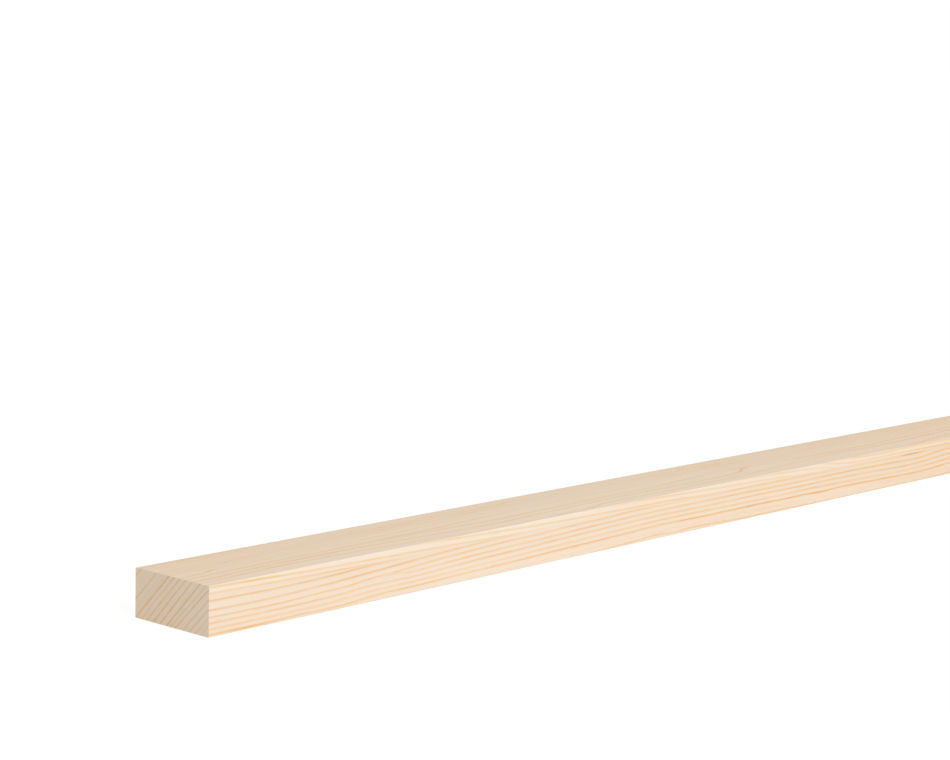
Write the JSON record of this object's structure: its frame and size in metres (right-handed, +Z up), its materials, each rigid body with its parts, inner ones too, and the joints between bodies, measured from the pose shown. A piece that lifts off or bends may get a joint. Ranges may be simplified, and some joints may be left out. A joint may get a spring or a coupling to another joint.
{
  "type": "timber plank",
  "caption": "Straight square-edged softwood plank, planed on its long faces and sawn square at its ends, stock for framing, battens and joinery.",
  "frame": {"origin": "under the middle of the plank, on the surface that it lies on", "axes": "+X along the length, +Y across the width, +Z up through the thickness"},
  "size_m": [1.8, 0.044, 0.0205],
  "materials": {
    "planed_softwood": "planed, bare, satin to matt"
  },
  "bodies": {
    "root": {"plank": "planed_softwood"}
  },
  "joints": []
}
